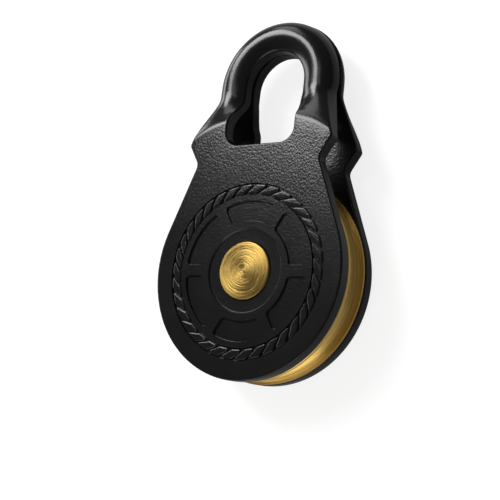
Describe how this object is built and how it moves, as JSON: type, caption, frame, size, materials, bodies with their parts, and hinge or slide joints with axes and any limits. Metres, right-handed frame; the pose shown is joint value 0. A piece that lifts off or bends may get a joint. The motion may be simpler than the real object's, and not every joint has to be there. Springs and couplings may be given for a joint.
{
  "type": "snatch_block",
  "caption": "Forged steel snatch block for winch rope, black cheeks with a shackle eye split between them, gold grooved sheave and pin",
  "frame": {"origin": "middle of the footprint, on the plane of the rear cheek's outer face, on which the block lies", "axes": "+Z along the pin, out through the front cheek; +Y towards the shackle eye, the block's long direction"},
  "size_m": [0.1408, 0.2457, 0.0425],
  "materials": {
    "powder_coat": "matt black textured powder coat",
    "gold_plating": "gold plated steel with a turned grain",
    "bronze": "machined bearing bronze",
    "zinc_steel": "zinc plated",
    "spring_steel": "dark phosphated spring steel"
  },
  "bodies": {
    "rear_body": {"rear_cheek_plate": "powder_coat", "axle_pin": "gold_plating", "front_thrust_washer": "bronze", "rear_thrust_washer": "bronze", "retaining_washer": "zinc_steel", "snap_ring": "spring_steel", "grease_nipple": "zinc_steel", "nipple_spring": "spring_steel"},
    "front_cheek": {"front_cheek_plate": "powder_coat"},
    "wheel": {"sheave": "gold_plating", "sheave_bush": "bronze"},
    "check_ball": {"nipple_ball": "zinc_steel"}
  },
  "joints": [
    {"name": "front_cheek_swing", "type": "hinge", "parent": "rear_body", "child": "front_cheek", "pos_m": [0, -0.0525, 0.0375], "axis": [0, 0, 1], "continuous": true},
    {"name": "sheave_turn", "type": "hinge", "parent": "rear_body", "child": "wheel", "pos_m": [0, -0.0525, 0.021], "axis": [0, 0, 1], "continuous": true},
    {"name": "check_ball_press", "type": "slide", "parent": "rear_body", "child": "check_ball", "axis": [0, 0, 1], "range_m": [0, 0.0006], "stiffness_N_per_m": 200, "deforming": ["nipple_spring"]}
  ]
}
